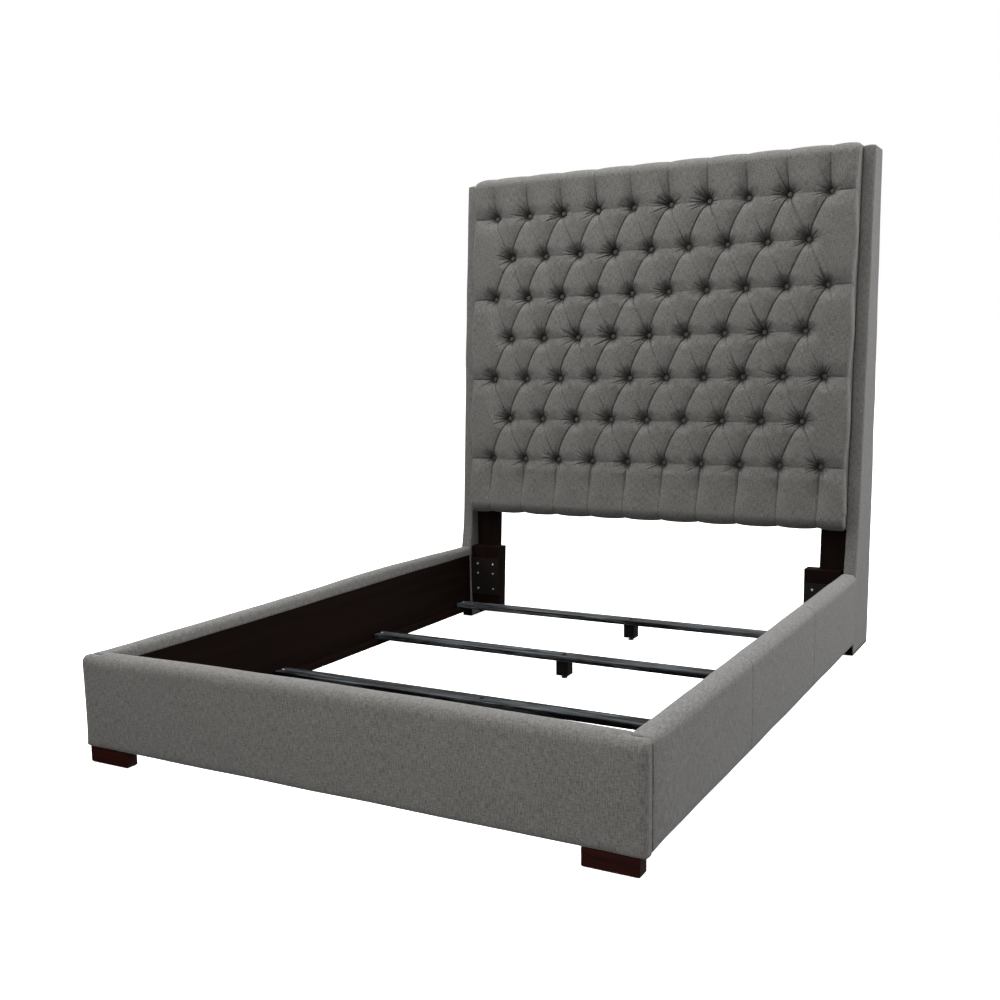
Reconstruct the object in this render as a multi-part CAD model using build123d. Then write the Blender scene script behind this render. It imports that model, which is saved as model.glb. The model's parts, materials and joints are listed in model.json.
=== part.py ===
from build123d import *
import os
from math import atan, cos, degrees

# Upholstered bed for a 1524 x 2032 mm mattress: a tall button-tufted headboard between two
# upholstered wings, low padded side rails and footboard, three slats and their centre legs.
# Frame: origin on the floor under the middle of the bed, +X to the right seen from the foot,
# +Y towards the head end, +Z up. All sizes are in millimetres.

# ---------------------------------------------------------------- driving dimensions
overall_length = 2330.0
overall_width = 1676.0
wing_height = 1848.0
headboard_top = 1862.0

# side rails and footboard
rail_bottom = 46.0
rail_top = 308.0
rail_clear_half_width = 785.0
padding = 12.0              # foam and fabric over an outer face of a board
turned_fabric = 3.0         # fabric alone, turned over onto an inner face
underside_wrap = 6.0
lip_height = 35.0           # how far the fabric comes down inside the rails
rail_end_strip = 16.0       # fabric turned in at the head end of a rail
outer_roll_radius = 16.0
inner_roll_radius = 9.0
footboard_end_thickness = 33.0
footboard_thickness = 55.0
footboard_front_roll_radius = 14.0

# slats and what carries them
slat_width = 65.0
slat_thickness = 18.0
slat_top = 83.0
slat_end_gap = 5.0
slat_centres_from_foot = {"front": 775.0, "middle": 1360.0, "back": 1972.0}
cleat_width = 30.0
centre_leg_side = 45.0
centre_leg_bottom = 12.0
leveller_pad_radius = 10.5
leveller_pad_height = 5.0
leveller_stem_radius = 4.0
leveller_stem_top = 34.0
leveller_running_gap = 0.05
insert_radius = 6.0
insert_length = 18.0
stem_bore_depth = 29.0

# front feet
front_foot_width = 139.0
front_foot_depth = 38.8
front_foot_inset = 10.0
front_foot_pad = 2.0

# wings
wing_front_from_foot = 2080.0
wing_thickness = 45.0
wing_padding = 13.0
wing_edge_radius = 9.0
wing_base_height = 6.0
wing_flare_top = 484.0      # height where the flare over the rail has died out
wing_front_at_flare = 28.0  # how far the front edge has drawn back by then
wing_front_at_top = 132.0
cheek_thickness = 12.0
cheek_front_from_foot = 2150.0

# tufting
panel_bottom = 460.0
foam_top = 1818.0
tuft_plane_from_foot = 2161.0   # button plane, at tuft_centre_height
tuft_centre_height = 1192.0
tuft_lean_slope = 0.0665
tuft_column_pitch = 154.0
tuft_row_pitch = 166.1
tuft_rows = 7
tuft_columns = 10               # in the wide rows; the rows between have one fewer
pillow_depth = 45.0             # crest of the tufting in front of the button plane
foam_behind_buttons = 25.0
button_radius = 11.0
button_height = 7.0

# headboard frame
tufting_board_thickness = 12.0
frame_thickness = 40.0
crossrail_height = 80.0
frame_top = 1790.0
top_board_bottom = 1800.0
back_panel_thickness = 4.0
back_cover_thickness = 4.0
post_bottom = 50.0
post_inner_x = 693.0
block_inner_x = 650.0
block_top = 314.0

# steel fittings
plate_thickness = 3.0
plate_inner_x = 652.0
plate_bottom = 103.0
plate_top = 262.0
hook_heights = (140.0, 225.0)
hook_thickness = 3.0
bracket_leg = 43.0
bracket_heights = (100.0, 240.0)

fit_gap = 2.0               # between boards that only meet through their fasteners
soft_clearance = 0.3
overlap = 1.0               # cutting tools run this far past a face

# ---------------------------------------------------------------- worked-out planes
half_width = overall_width / 2
foot_y = -overall_length / 2
head_y = overall_length / 2
wing_inner_x = half_width - wing_thickness
wing_front_y = foot_y + wing_front_from_foot
cheek_inner_x = wing_inner_x - cheek_thickness
board_inner_x = rail_clear_half_width + turned_fabric
board_outer_x = half_width - padding
board_bottom = rail_bottom + underside_wrap
board_top = rail_top - padding
lip_bottom = rail_top - lip_height
rail_start_y = foot_y + footboard_end_thickness
rail_end_y = wing_front_y - plate_thickness
footboard_inner_y = foot_y + footboard_thickness
footboard_board_inner_y = footboard_inner_y - turned_fabric
footboard_joint_y = rail_start_y - turned_fabric
slat_bottom = slat_top - slat_thickness
slat_ys = {place: foot_y + from_foot for place, from_foot in slat_centres_from_foot.items()}
stem_bore_radius = leveller_stem_radius + leveller_running_gap
hook_x = (board_inner_x + board_outer_x) / 2
lean = atan(tuft_lean_slope)
tuft_plane_y = foot_y + tuft_plane_from_foot
board_behind = (foam_behind_buttons, foam_behind_buttons + tufting_board_thickness)
frame_behind = (board_behind[1], board_behind[1] + frame_thickness)
back_fabric_y = head_y - back_cover_thickness
back_panel_y = back_fabric_y - back_panel_thickness
crossrail_bottoms = {"bottom": 470.0, "middle": 1090.0, "top": frame_top - crossrail_height}

nodes = {}


# ---------------------------------------------------------------- helpers
def slab(x, y, z):
    """A box between the two limits given on each axis."""
    size = [high - low for low, high in (x, y, z)]
    middle = [(high + low) / 2 for low, high in (x, y, z)]
    return Pos(*middle) * Box(*size)


def edges_at(shape, axis, across, limit):
    """The edges along one axis that lie at a limit across it."""
    return shape.edges().filter_by(axis).filter_by_position(across, limit - overlap, limit + overlap)


def mirrored_pair(name, right):
    """Stores a right-hand piece and its mirror image."""
    nodes[name + "_right"] = right
    nodes[name + "_left"] = mirror(right, Plane.YZ)


def lean_plane_y(behind, z):
    """Where the leaning plane that lies this far behind the buttons is at a height."""
    return tuft_plane_y + behind / cos(lean) + tuft_lean_slope * (z - tuft_centre_height)


def on_lean_plane(shape):
    """Turns a shape made about the middle of the button plane to the headboard's lean."""
    return Pos(0, tuft_plane_y, tuft_centre_height) * Rot(X=-degrees(lean)) * shape


def leaning_slab(x, behind, z):
    """A board in the leaning frame of the headboard, cut level at its ends."""
    board = on_lean_plane(slab(x, behind, (-overall_length, overall_length)))
    return board & slab((x[0] - overlap, x[1] + overlap), (foot_y, head_y + overall_length), z)


def driven_screw(shank_radius, length, head_radius, head_height):
    """A pan-head screw with a cross recess, pointing down -Z, its head's seat at the origin."""
    head = Pos(0, 0, head_height / 2) * Cylinder(head_radius, head_height)
    head = fillet(head.edges().group_by(Axis.Z)[-1], head_height * 0.6)
    shank = Pos(0, 0, -length / 2) * Cylinder(shank_radius, length)
    blade = Box(head_radius * 1.1, head_radius * 0.24, head_height)
    cross = blade + Rot(Z=90) * blade
    return head + shank - Pos(0, 0, head_height) * cross


def group(pieces):
    return Compound(children=list(pieces))


# ---------------------------------------------------------------- side rails
def side_rail_board():
    return slab(
        (board_inner_x, board_outer_x),
        (rail_start_y, rail_end_y - plate_thickness),
        (board_bottom, board_top),
    )


def hook_plate_blank():
    inset, below, above = 2.0, 15.0, 8.0
    return slab(
        (board_inner_x + inset, board_outer_x - inset),
        (rail_end_y - plate_thickness, rail_end_y),
        (plate_bottom - below, plate_top + above),
    )


def side_rail_cover():
    lower_radius = 4.0
    cover = slab((rail_clear_half_width, half_width), (rail_start_y, rail_end_y), (rail_bottom, rail_top))
    cover = fillet(edges_at(cover, Axis.Y, Axis.Z, rail_top).sort_by(Axis.X)[-1], outer_roll_radius)
    cover = fillet(edges_at(cover, Axis.Y, Axis.Z, rail_top).sort_by(Axis.X)[0], inner_roll_radius)
    cover = fillet(edges_at(cover, Axis.Y, Axis.Z, rail_bottom).sort_by(Axis.X)[-1], lower_radius)
    cover -= side_rail_board()
    cover -= hook_plate_blank()
    bare_face = slab(
        (rail_clear_half_width, board_inner_x),
        (rail_start_y, rail_end_y - rail_end_strip),
        (rail_bottom, lip_bottom),
    )
    return cover - bare_face


def rail_hook_plate():
    plate = hook_plate_blank()
    neck_height, tip_drop, reach = 18.0, 12.0, 10.0
    across = (hook_x - hook_thickness / 2, hook_x + hook_thickness / 2)
    for z in hook_heights:
        neck = slab(across, (rail_end_y, wing_front_y + reach), (z, z + neck_height))
        tip = slab(across, (wing_front_y + reach / 2, wing_front_y + reach), (z - tip_drop, z + neck_height))
        plate += neck + tip
    return plate


def headboard_slot_plate():
    outer_inset, slot_half_width, below, above = 2.0, 2.5, 14.0, 24.0
    plate = slab(
        (plate_inner_x, board_outer_x - outer_inset),
        (rail_end_y, wing_front_y),
        (plate_bottom, plate_top),
    )
    for z in hook_heights:
        plate -= slab(
            (hook_x - slot_half_width, hook_x + slot_half_width),
            (rail_end_y - overlap, wing_front_y + overlap),
            (z - below, z + above),
        )
    return plate


# ---------------------------------------------------------------- slats, legs and levellers
def slat_cleat():
    front_gap, back_gap = 50.0, 6.0
    return slab(
        (board_inner_x - cleat_width, board_inner_x),
        (footboard_inner_y + front_gap, rail_end_y - rail_end_strip - back_gap),
        (rail_bottom, slat_bottom),
    )


def slat(y):
    half_length, half = board_inner_x - slat_end_gap, slat_width / 2
    edge_radius = 2.0
    board = slab((-half_length, half_length), (y - half, y + half), (slat_bottom, slat_top))
    return fillet(board.edges().filter_by(Axis.X), edge_radius)


def centre_leg(y):
    half_side = centre_leg_side / 2
    edge_radius, bore_margin = 2.0, 0.5
    leg = slab((-half_side, half_side), (y - half_side, y + half_side), (centre_leg_bottom, slat_bottom))
    leg = fillet(leg.edges().filter_by(Axis.Z), edge_radius)
    insert_pocket = Pos(0, y, centre_leg_bottom + insert_length / 2) * Cylinder(insert_radius, insert_length)
    bore = Cylinder(stem_bore_radius + bore_margin, stem_bore_depth)
    return leg - insert_pocket - Pos(0, y, centre_leg_bottom + stem_bore_depth / 2) * bore


def threaded_insert(y):
    sleeve = Cylinder(insert_radius, insert_length) - Cylinder(stem_bore_radius, insert_length)
    return Pos(0, y, centre_leg_bottom + insert_length / 2) * sleeve


def leveller(y):
    lower_radius, upper_radius = 1.5, 2.0
    stem_length = leveller_stem_top - leveller_pad_height
    pad = Pos(0, y, leveller_pad_height / 2) * Cylinder(leveller_pad_radius, leveller_pad_height)
    pad = fillet(pad.edges().group_by(Axis.Z)[0], lower_radius)
    pad = fillet(pad.edges().group_by(Axis.Z)[-1], upper_radius)
    stem = Cylinder(leveller_stem_radius, stem_length)
    return pad + Pos(0, y, leveller_pad_height + stem_length / 2) * stem


def slat_screws():
    from_rail = 17.0
    screw = driven_screw(shank_radius=2.5, length=32.0, head_radius=5.0, head_height=2.2)
    places = [(side * (board_inner_x - from_rail), y) for y in slat_ys.values() for side in (-1, 1)]
    return group(Pos(x, y, slat_top) * screw for x, y in places)


def centre_leg_bolts():
    bolt = driven_screw(shank_radius=3.0, length=40.0, head_radius=8.0, head_height=2.6)
    return group(Pos(0, y, slat_top) * bolt for y in slat_ys.values())


# ---------------------------------------------------------------- footboard
def footboard_panel():
    return slab(
        (-board_outer_x, board_outer_x),
        (foot_y + padding, footboard_joint_y),
        (board_bottom, board_top),
    )


def footboard_inner_board():
    return slab(
        (-rail_clear_half_width, rail_clear_half_width),
        (footboard_joint_y, footboard_board_inner_y),
        (board_bottom, board_top),
    )


def footboard_cover():
    corner_radius = 9.0
    heights = (rail_bottom, rail_top)
    front = slab((-half_width, half_width), (foot_y, rail_start_y), heights)
    front = fillet(edges_at(front, Axis.Z, Axis.Y, foot_y), corner_radius)
    inner = slab((-rail_clear_half_width, rail_clear_half_width), (rail_start_y, footboard_inner_y), heights)
    cover = front + inner
    top = cover.edges().filter_by_position(Axis.Z, rail_top - overlap, rail_top + overlap)
    cover = fillet(top.group_by(Axis.Y)[0], footboard_front_roll_radius)
    cover = fillet(edges_at(cover, Axis.X, Axis.Z, rail_top).group_by(Axis.Y)[-1], inner_roll_radius)
    bare_face = slab(
        (-rail_clear_half_width, rail_clear_half_width),
        (footboard_board_inner_y, footboard_inner_y),
        (rail_bottom, lip_bottom),
    )
    return cover - footboard_panel() - footboard_inner_board() - bare_face


def corner_bracket():
    across = slab(
        (board_inner_x - bracket_leg, board_inner_x),
        (footboard_board_inner_y, footboard_inner_y),
        bracket_heights,
    )
    along = slab(
        (rail_clear_half_width, board_inner_x),
        (footboard_board_inner_y, footboard_board_inner_y + bracket_leg),
        bracket_heights,
    )
    return across + along


def corner_bracket_bolts():
    bolt_heights = (125.0, 215.0)
    from_corner = bracket_leg * 0.6
    bolt = driven_screw(shank_radius=3.0, length=18.0, head_radius=6.0, head_height=3.0)
    bolts = []
    for z in bolt_heights:
        bolts.append(Pos(board_inner_x - from_corner, footboard_inner_y, z) * Rot(X=-90) * bolt)
        bolts.append(Pos(rail_clear_half_width, footboard_board_inner_y + from_corner, z) * Rot(Y=-90) * bolt)
    return group(bolts + [mirror(right, Plane.YZ) for right in bolts])


def front_foot():
    edge_radius, lower_chamfer = 1.5, 1.0
    outer_x = half_width - front_foot_inset
    foot = slab(
        (outer_x - front_foot_width, outer_x),
        (foot_y, foot_y + front_foot_depth),
        (front_foot_pad, rail_bottom),
    )
    foot = fillet(foot.edges().filter_by(Axis.Z), edge_radius)
    return chamfer(foot.edges().group_by(Axis.Z)[0], lower_chamfer)


def front_foot_pads():
    margin = 3.0
    outer_x = half_width - front_foot_inset
    pad = slab(
        (outer_x - front_foot_width + margin, outer_x - margin),
        (foot_y + margin, foot_y + front_foot_depth - margin),
        (0.0, front_foot_pad),
    )
    return group([pad, mirror(pad, Plane.YZ)])


def front_foot_bolts():
    length, radius, half_spacing = 58.0, 3.0, 38.0
    middle_x = half_width - front_foot_inset - front_foot_width / 2
    middle_y = (foot_y + padding + footboard_joint_y) / 2
    bolt = Pos(0, middle_y, rail_bottom) * Cylinder(radius, length)
    places = [side * (middle_x + step) for side in (-1, 1) for step in (-half_spacing, half_spacing)]
    return group(Pos(x, 0, 0) * bolt for x in places)


# ---------------------------------------------------------------- wings
def wing_profile(front_inset, back_inset, top_inset):
    """The side view of a wing: upright below the rail's top, a flare, then a straight taper."""
    top = wing_height - top_inset
    front_low = wing_front_y + front_inset
    front_mid = front_low + wing_front_at_flare
    taper = (wing_front_at_top - wing_front_at_flare) / (wing_height - wing_flare_top)
    front_top = front_mid + taper * (top - wing_flare_top)
    back = head_y - back_inset
    outline = [
        Line((front_low, wing_base_height), (front_low, rail_top)),
        TangentArc((front_mid, wing_flare_top), (front_low, rail_top), tangent=(-taper, -1)),
        Line((front_mid, wing_flare_top), (front_top, top)),
        Line((front_top, top), (back, top)),
        Line((back, top), (back, wing_base_height)),
        Line((back, wing_base_height), (front_low, wing_base_height)),
    ]
    return Plane.YZ * make_face(outline)


def wing_body(x, insets):
    return Pos(x[0], 0, 0) * extrude(wing_profile(*insets), amount=x[1] - x[0], dir=(1, 0, 0))


def wing_core():
    return wing_body(
        (wing_inner_x + wing_padding, half_width - wing_padding),
        (wing_padding, turned_fabric, wing_padding),
    )


def wing_cover():
    cover = wing_body((wing_inner_x, half_width), (0.0, 0.0, 0.0))
    by_side = cover.faces().sort_by(Axis.X)
    rolled = []
    for edge in by_side[0].edges() + by_side[-1].edges():
        middle = edge.center()
        if middle.Z > wing_base_height + overlap and middle.Y < head_y - overlap:
            rolled.append(edge)
    cover = fillet(rolled, wing_edge_radius)
    hook_half_room, hook_margin = 7.0, 5.0
    hook_room = slab(
        (hook_x - hook_half_room, hook_x + hook_half_room),
        (wing_front_y - overlap, wing_front_y + wing_padding),
        (plate_bottom + hook_margin, plate_top - hook_margin),
    )
    return cover - wing_core() - hook_room


def wing_base():
    return slab(
        (wing_inner_x + fit_gap, half_width - fit_gap),
        (wing_front_y + fit_gap, head_y - fit_gap),
        (0.0, wing_base_height),
    )


def wing_cheek():
    below_panel = 5.0
    return slab(
        (cheek_inner_x, wing_inner_x),
        (foot_y + cheek_front_from_foot, back_panel_y),
        (wing_base_height, panel_bottom - below_panel),
    )


# ---------------------------------------------------------------- headboard frame
def headboard_post():
    return leaning_slab((post_inner_x, cheek_inner_x), frame_behind, (post_bottom, frame_top))


def headboard_crossrail(bottom):
    return leaning_slab((-post_inner_x, post_inner_x), frame_behind, (bottom, bottom + crossrail_height))


def headboard_centre_stile():
    half = 35.0
    low_span = (crossrail_bottoms["bottom"] + crossrail_height, crossrail_bottoms["middle"])
    high_span = (crossrail_bottoms["middle"] + crossrail_height, crossrail_bottoms["top"])
    return group(leaning_slab((-half, half), frame_behind, span) for span in (low_span, high_span))


def tufting_board():
    half = wing_inner_x - fit_gap
    return leaning_slab((-half, half), board_behind, (panel_bottom + turned_fabric, top_board_bottom))


def top_board():
    half = wing_inner_x - fit_gap
    heights = (top_board_bottom, foam_top)
    front = lean_plane_y(board_behind[0], top_board_bottom)
    board = slab((-half, half), (front, back_panel_y), heights)
    return board & leaning_slab((-half, half), (board_behind[0], overall_length), heights)


def bottom_board():
    half, thickness = cheek_inner_x - overlap, 12.0
    low = panel_bottom + turned_fabric
    front = lean_plane_y(frame_behind[1], panel_bottom) + fit_gap
    return slab((-half, half), (front, back_panel_y), (low, low + thickness))


def back_panel():
    half = wing_inner_x - fit_gap
    return slab((-half, half), (back_panel_y, back_fabric_y), (panel_bottom + turned_fabric, foam_top))


def back_cover():
    half, below_panel, below_top = wing_inner_x - soft_clearance, 5.0, 10.0
    heights = (panel_bottom - below_panel, headboard_top - below_top)
    return slab((-half, half), (back_fabric_y, head_y), heights)


def leg_block():
    edge_radius = 3.0
    block = slab(
        (block_inner_x, rail_clear_half_width),
        (wing_front_y, back_panel_y),
        (post_bottom, block_top),
    )
    post_room = leaning_slab(
        (block_inner_x - overlap, rail_clear_half_width + overlap),
        (frame_behind[0], overall_length),
        (0.0, block_top + overlap),
    )
    block -= post_room
    return fillet(edges_at(block, Axis.X, Axis.Z, block_top).sort_by(Axis.Y)[0], edge_radius)


def slot_plate_screws():
    rows, columns = (128.0, 195.0, 236.0), (682.0, 756.0)
    screw = Rot(X=90) * driven_screw(shank_radius=2.4, length=26.0, head_radius=4.6, head_height=2.4)
    places = [(side * x, z) for z in rows for x in columns for side in (-1, 1)]
    return group(Pos(x, rail_end_y, z) * screw for x, z in places)


# ---------------------------------------------------------------- tufting
def button_places():
    """Button centres on the leaning plane: across, and up the plane from its middle."""
    up_plane = tuft_row_pitch / cos(lean)
    places = []
    for row in range(tuft_rows):
        step = row - (tuft_rows - 1) / 2
        count = tuft_columns - row % 2
        for column in range(count):
            places.append(((column - (count - 1) / 2) * tuft_column_pitch, step * up_plane))
    return places


def at_each_button(shape):
    """Copies of a shape whose own +Z points out of the panel, one for each button."""
    return [on_lean_plane(Pos(x, 0, up) * Rot(X=90) * shape) for x, up in button_places()]


def tuft_buttons():
    dome_radius, nail_radius, nail_length, nail_depth = 4.0, 1.3, 30.0, 33.0
    cap = Cylinder(button_radius, button_height)
    cap = fillet(cap.edges().group_by(Axis.Z)[-1], dome_radius)
    nail = Pos(0, 0, nail_length / 2 - nail_depth) * Cylinder(nail_radius, nail_length)
    return group(at_each_button(cap + nail))


def tufted_panel():
    half, lower_roll, seat_gap, dimple_radius = wing_inner_x - soft_clearance, 28.0, 1.0, 42.0
    panel = leaning_slab((-half, half), (-pillow_depth, foam_behind_buttons), (panel_bottom, foam_top))
    low_front = panel.edges().filter_by(Axis.X).group_by(Axis.Z)[0].sort_by(Axis.Y)[0]
    panel = fillet(low_front, lower_roll)
    seat_radius = button_radius + seat_gap
    dimple = Pos(0, 0, pillow_depth / 2) * Cone(seat_radius, dimple_radius, pillow_depth + seat_gap)
    hollow = dimple + Cylinder(seat_radius, button_height + seat_gap)
    for cut in at_each_button(hollow):
        panel -= cut
    return panel


def top_roll():
    half, front_radius, back_radius = wing_inner_x - soft_clearance, 36.0, 12.0
    front = lean_plane_y(-pillow_depth, foam_top)
    roll = slab((-half, half), (front, back_fabric_y), (foam_top, headboard_top))
    roll = fillet(edges_at(roll, Axis.X, Axis.Z, headboard_top).sort_by(Axis.Y)[0], front_radius)
    return fillet(edges_at(roll, Axis.X, Axis.Z, headboard_top).sort_by(Axis.Y)[-1], back_radius)


# ---------------------------------------------------------------- assembly
def build_side_rails():
    mirrored_pair("side_rail_board", side_rail_board())
    mirrored_pair("side_rail_cover", side_rail_cover())
    mirrored_pair("rail_hook_plate", rail_hook_plate())
    mirrored_pair("slat_cleat", slat_cleat())


def build_slats():
    for place, y in slat_ys.items():
        nodes["slat_" + place] = slat(y)
        nodes["centre_leg_" + place] = centre_leg(y)
        nodes["leveller_" + place] = leveller(y)
    nodes["leveller_inserts"] = group(threaded_insert(y) for y in slat_ys.values())
    nodes["slat_screws"] = slat_screws()
    nodes["centre_leg_bolts"] = centre_leg_bolts()


def build_footboard():
    nodes["footboard_panel"] = footboard_panel()
    nodes["footboard_inner_board"] = footboard_inner_board()
    nodes["footboard_cover"] = footboard_cover()
    mirrored_pair("corner_bracket", corner_bracket())
    nodes["corner_bracket_bolts"] = corner_bracket_bolts()
    mirrored_pair("front_foot", front_foot())
    nodes["front_foot_pads"] = front_foot_pads()
    nodes["front_foot_bolts"] = front_foot_bolts()


def build_wings():
    mirrored_pair("wing_core", wing_core())
    mirrored_pair("wing_cover", wing_cover())
    mirrored_pair("wing_base", wing_base())
    mirrored_pair("wing_cheek", wing_cheek())


def build_headboard():
    mirrored_pair("headboard_post", headboard_post())
    for place, bottom in crossrail_bottoms.items():
        nodes["headboard_crossrail_" + place] = headboard_crossrail(bottom)
    nodes["headboard_centre_stile"] = headboard_centre_stile()
    nodes["tufting_board"] = tufting_board()
    nodes["headboard_top_board"] = top_board()
    nodes["headboard_bottom_board"] = bottom_board()
    nodes["headboard_back_panel"] = back_panel()
    nodes["headboard_back_cover"] = back_cover()
    nodes["tufted_panel"] = tufted_panel()
    nodes["tufted_top_roll"] = top_roll()
    nodes["tuft_buttons"] = tuft_buttons()
    mirrored_pair("leg_block", leg_block())
    mirrored_pair("headboard_slot_plate", headboard_slot_plate())
    nodes["slot_plate_screws"] = slot_plate_screws()


build_side_rails()
build_slats()
build_footboard()
build_wings()
build_headboard()
os.makedirs("parts", exist_ok=True)
for name, shape in nodes.items():
    export_step(shape, "parts/" + name + ".step")
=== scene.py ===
import json
from math import atan, atan2, cos, hypot, pi, radians, sin, tan

import bmesh
import bpy
import numpy as np
from mathutils import Matrix, Vector


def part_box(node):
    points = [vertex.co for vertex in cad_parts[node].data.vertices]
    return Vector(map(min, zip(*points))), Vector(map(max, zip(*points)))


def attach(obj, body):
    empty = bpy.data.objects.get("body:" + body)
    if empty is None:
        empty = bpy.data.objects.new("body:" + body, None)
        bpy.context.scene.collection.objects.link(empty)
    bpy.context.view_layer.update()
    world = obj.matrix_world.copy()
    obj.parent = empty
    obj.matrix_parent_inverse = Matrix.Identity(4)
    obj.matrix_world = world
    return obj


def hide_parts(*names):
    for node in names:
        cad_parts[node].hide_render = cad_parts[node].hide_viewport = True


# Looks of the upholstered bed, in metres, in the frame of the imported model: X across the bed,
# +Y towards the headboard, Z up.
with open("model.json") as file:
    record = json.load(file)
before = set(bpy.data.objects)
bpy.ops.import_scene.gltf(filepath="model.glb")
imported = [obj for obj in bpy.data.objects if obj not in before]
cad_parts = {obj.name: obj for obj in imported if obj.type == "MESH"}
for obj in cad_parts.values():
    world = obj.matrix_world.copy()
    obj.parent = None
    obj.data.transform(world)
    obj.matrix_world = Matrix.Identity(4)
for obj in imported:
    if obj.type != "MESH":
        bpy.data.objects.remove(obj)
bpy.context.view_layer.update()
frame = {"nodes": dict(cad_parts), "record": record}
nodes = frame["nodes"]

BED = "bed"
FABRIC_UV = "fabric"
# the mesh attribute that carries painted shade: how far a point's colour is darkened, in dimples and
# creases
PAINTED_SHADE = "painted_fold_shade"


# ---- sizes read from the frame
def spans(node):
    """The limits of a CAD node along X, Y and Z."""
    return list(zip(*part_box(node)))


rail_x, rail_y, rail_z = spans("side_rail_cover_right")
wing_x, wing_y, wing_z = spans("wing_cover_right")
back_x, back_y, back_z = spans("headboard_back_cover")
_, roll_y, roll_z = spans("tufted_top_roll")
panel_z = spans("tufted_panel")[2]
foot_y = spans("footboard_cover")[1]
rail_lip = 0.035
rail_seams = (-0.413, 0.273)

# tufting, as in the CAD source
tuft_rows, tuft_columns = 7, 10
column_pitch = 0.154
row_rise = 0.1661
lean = atan(0.0665)
row_pitch = row_rise / cos(lean)
tuft_centre = Vector((0.0, foot_y[0] + 2.161, 1.192))
pillow_depth = 0.045
side_radius = 0.016
button_radius = 0.0102

# rail and footboard covers: the remesh's voxel, its smoothing rounds, how far the cloth hangs below
# the CAD solid, and how much of it is turned in underneath
COVER_VOXEL = 0.0045
COVER_SMOOTHING = 2
COVER_HANG = 0.002
COVER_HEM = 0.014


# ---- mesh helpers
def link(name, mesh):
    obj = bpy.data.objects.new(name, mesh)
    bpy.context.scene.collection.objects.link(obj)
    return obj


def mesh_from_arrays(name, points, faces):
    """A smooth-shaded mesh from arrays of points and of faces that all have the same number of corners."""
    mesh = bpy.data.meshes.new(name)
    corners = faces.shape[1]
    mesh.vertices.add(len(points))
    mesh.vertices.foreach_set("co", points.astype(np.float32).ravel())
    mesh.loops.add(faces.size)
    mesh.loops.foreach_set("vertex_index", faces.astype(np.int32).ravel())
    mesh.polygons.add(len(faces))
    mesh.polygons.foreach_set("loop_start", np.arange(0, faces.size, corners, dtype=np.int32))
    mesh.polygons.foreach_set("use_smooth", np.ones(len(faces), bool))
    mesh.update(calc_edges=True)
    mesh.validate()
    return mesh


def set_fabric_uv(mesh, loop_uv):
    layer = mesh.uv_layers.new(name=FABRIC_UV)
    layer.data.foreach_set("uv", loop_uv.astype(np.float32).ravel())


def vertex_array(mesh, what="co"):
    flat = np.empty(len(mesh.vertices) * 3, np.float32)
    mesh.vertices.foreach_get(what, flat)
    return flat.reshape(-1, 3).astype(float)


def vertex_normals(mesh):
    return vertex_array(mesh, "normal")


def set_vertices(mesh, points):
    mesh.vertices.foreach_set("co", points.astype(np.float32).ravel())
    mesh.update()


def loop_vertices(mesh):
    index = np.empty(len(mesh.loops), np.int32)
    mesh.loops.foreach_get("vertex_index", index)
    return index


def tag_painted_shade(mesh, values):
    """Stores on each point how much painted shade darkens its colour there, 0 to 1."""
    shade = mesh.attributes.new(PAINTED_SHADE, "FLOAT", "POINT")
    shade.data.foreach_set("value", values.astype(np.float32).ravel())


def project_fabric(mesh, shift=0.0, stretch=1.0):
    """Lays the weave square on each face, along the two axes that the face runs along.

    A stretch below 1 makes the weave coarser, most of all across."""
    points = vertex_array(mesh)[loop_vertices(mesh)]
    normals = np.empty(len(mesh.polygons) * 3, np.float32)
    mesh.polygons.foreach_get("normal", normals)
    totals = np.empty(len(mesh.polygons), np.int32)
    mesh.polygons.foreach_get("loop_total", totals)
    facing = np.repeat(np.abs(normals.reshape(-1, 3)).argmax(1), totals)
    across = np.choose(facing, [points[:, 1], points[:, 0], points[:, 0]])
    up = np.choose(facing, [points[:, 2], points[:, 2], points[:, 1]])
    across = across * stretch + shift
    up = up * (0.5 + stretch / 2) + shift * 1.7
    set_fabric_uv(mesh, np.stack([across, up], 1))


def unit(x):
    """Limits values to 0 to 1."""
    return np.clip(x, 0, 1)


def ease(x):
    """0 to 1 with flat ends."""
    x = unit(x)
    return x * x * (3 - 2 * x)


def share_of(values, limits):
    """How far each value lies between two limits, 0 to 1."""
    return unit((values - limits[0]) / (limits[1] - limits[0]))


def dress(obj, material, body=BED):
    obj.data.materials.clear()
    obj.data.materials.append(material)
    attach(obj, body)
    return obj


# ---- materials
def new_material(name):
    """A node material: the material, its node tree and its shader."""
    material = bpy.data.materials.new(name)
    material.use_nodes = True
    return material, material.node_tree, material.node_tree.nodes["Principled BSDF"]


def add(tree, kind, **settings):
    node = tree.nodes.new(kind)
    for key, value in settings.items():
        setattr(node, key, value)
    return node


def set_values(node, values):
    for socket, value in values.items():
        node.inputs[socket].default_value = value


def scaled(tree, source, scale):
    mapping = add(tree, "ShaderNodeMapping")
    mapping.inputs["Scale"].default_value = scale
    tree.links.new(source, mapping.inputs["Vector"])
    return mapping.outputs["Vector"]


def noise(tree, source, scale, detail=2.0, roughness=0.5, distortion=0.0):
    """A noise whose scale is given along each axis, in repeats per metre."""
    texture = add(tree, "ShaderNodeTexNoise")
    set_values(texture, {"Scale": 1.0, "Detail": detail, "Roughness": roughness, "Distortion": distortion})
    tree.links.new(scaled(tree, source, scale), texture.inputs["Vector"])
    return texture.outputs["Fac"]


def math(tree, operation, a, b=None, clamp=False):
    node = add(tree, "ShaderNodeMath", operation=operation, use_clamp=clamp)
    for socket, value in zip(node.inputs, (a, b)):
        if value is None:
            continue
        if isinstance(value, (int, float)):
            socket.default_value = value
        else:
            tree.links.new(value, socket)
    return node.outputs[0]


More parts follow.
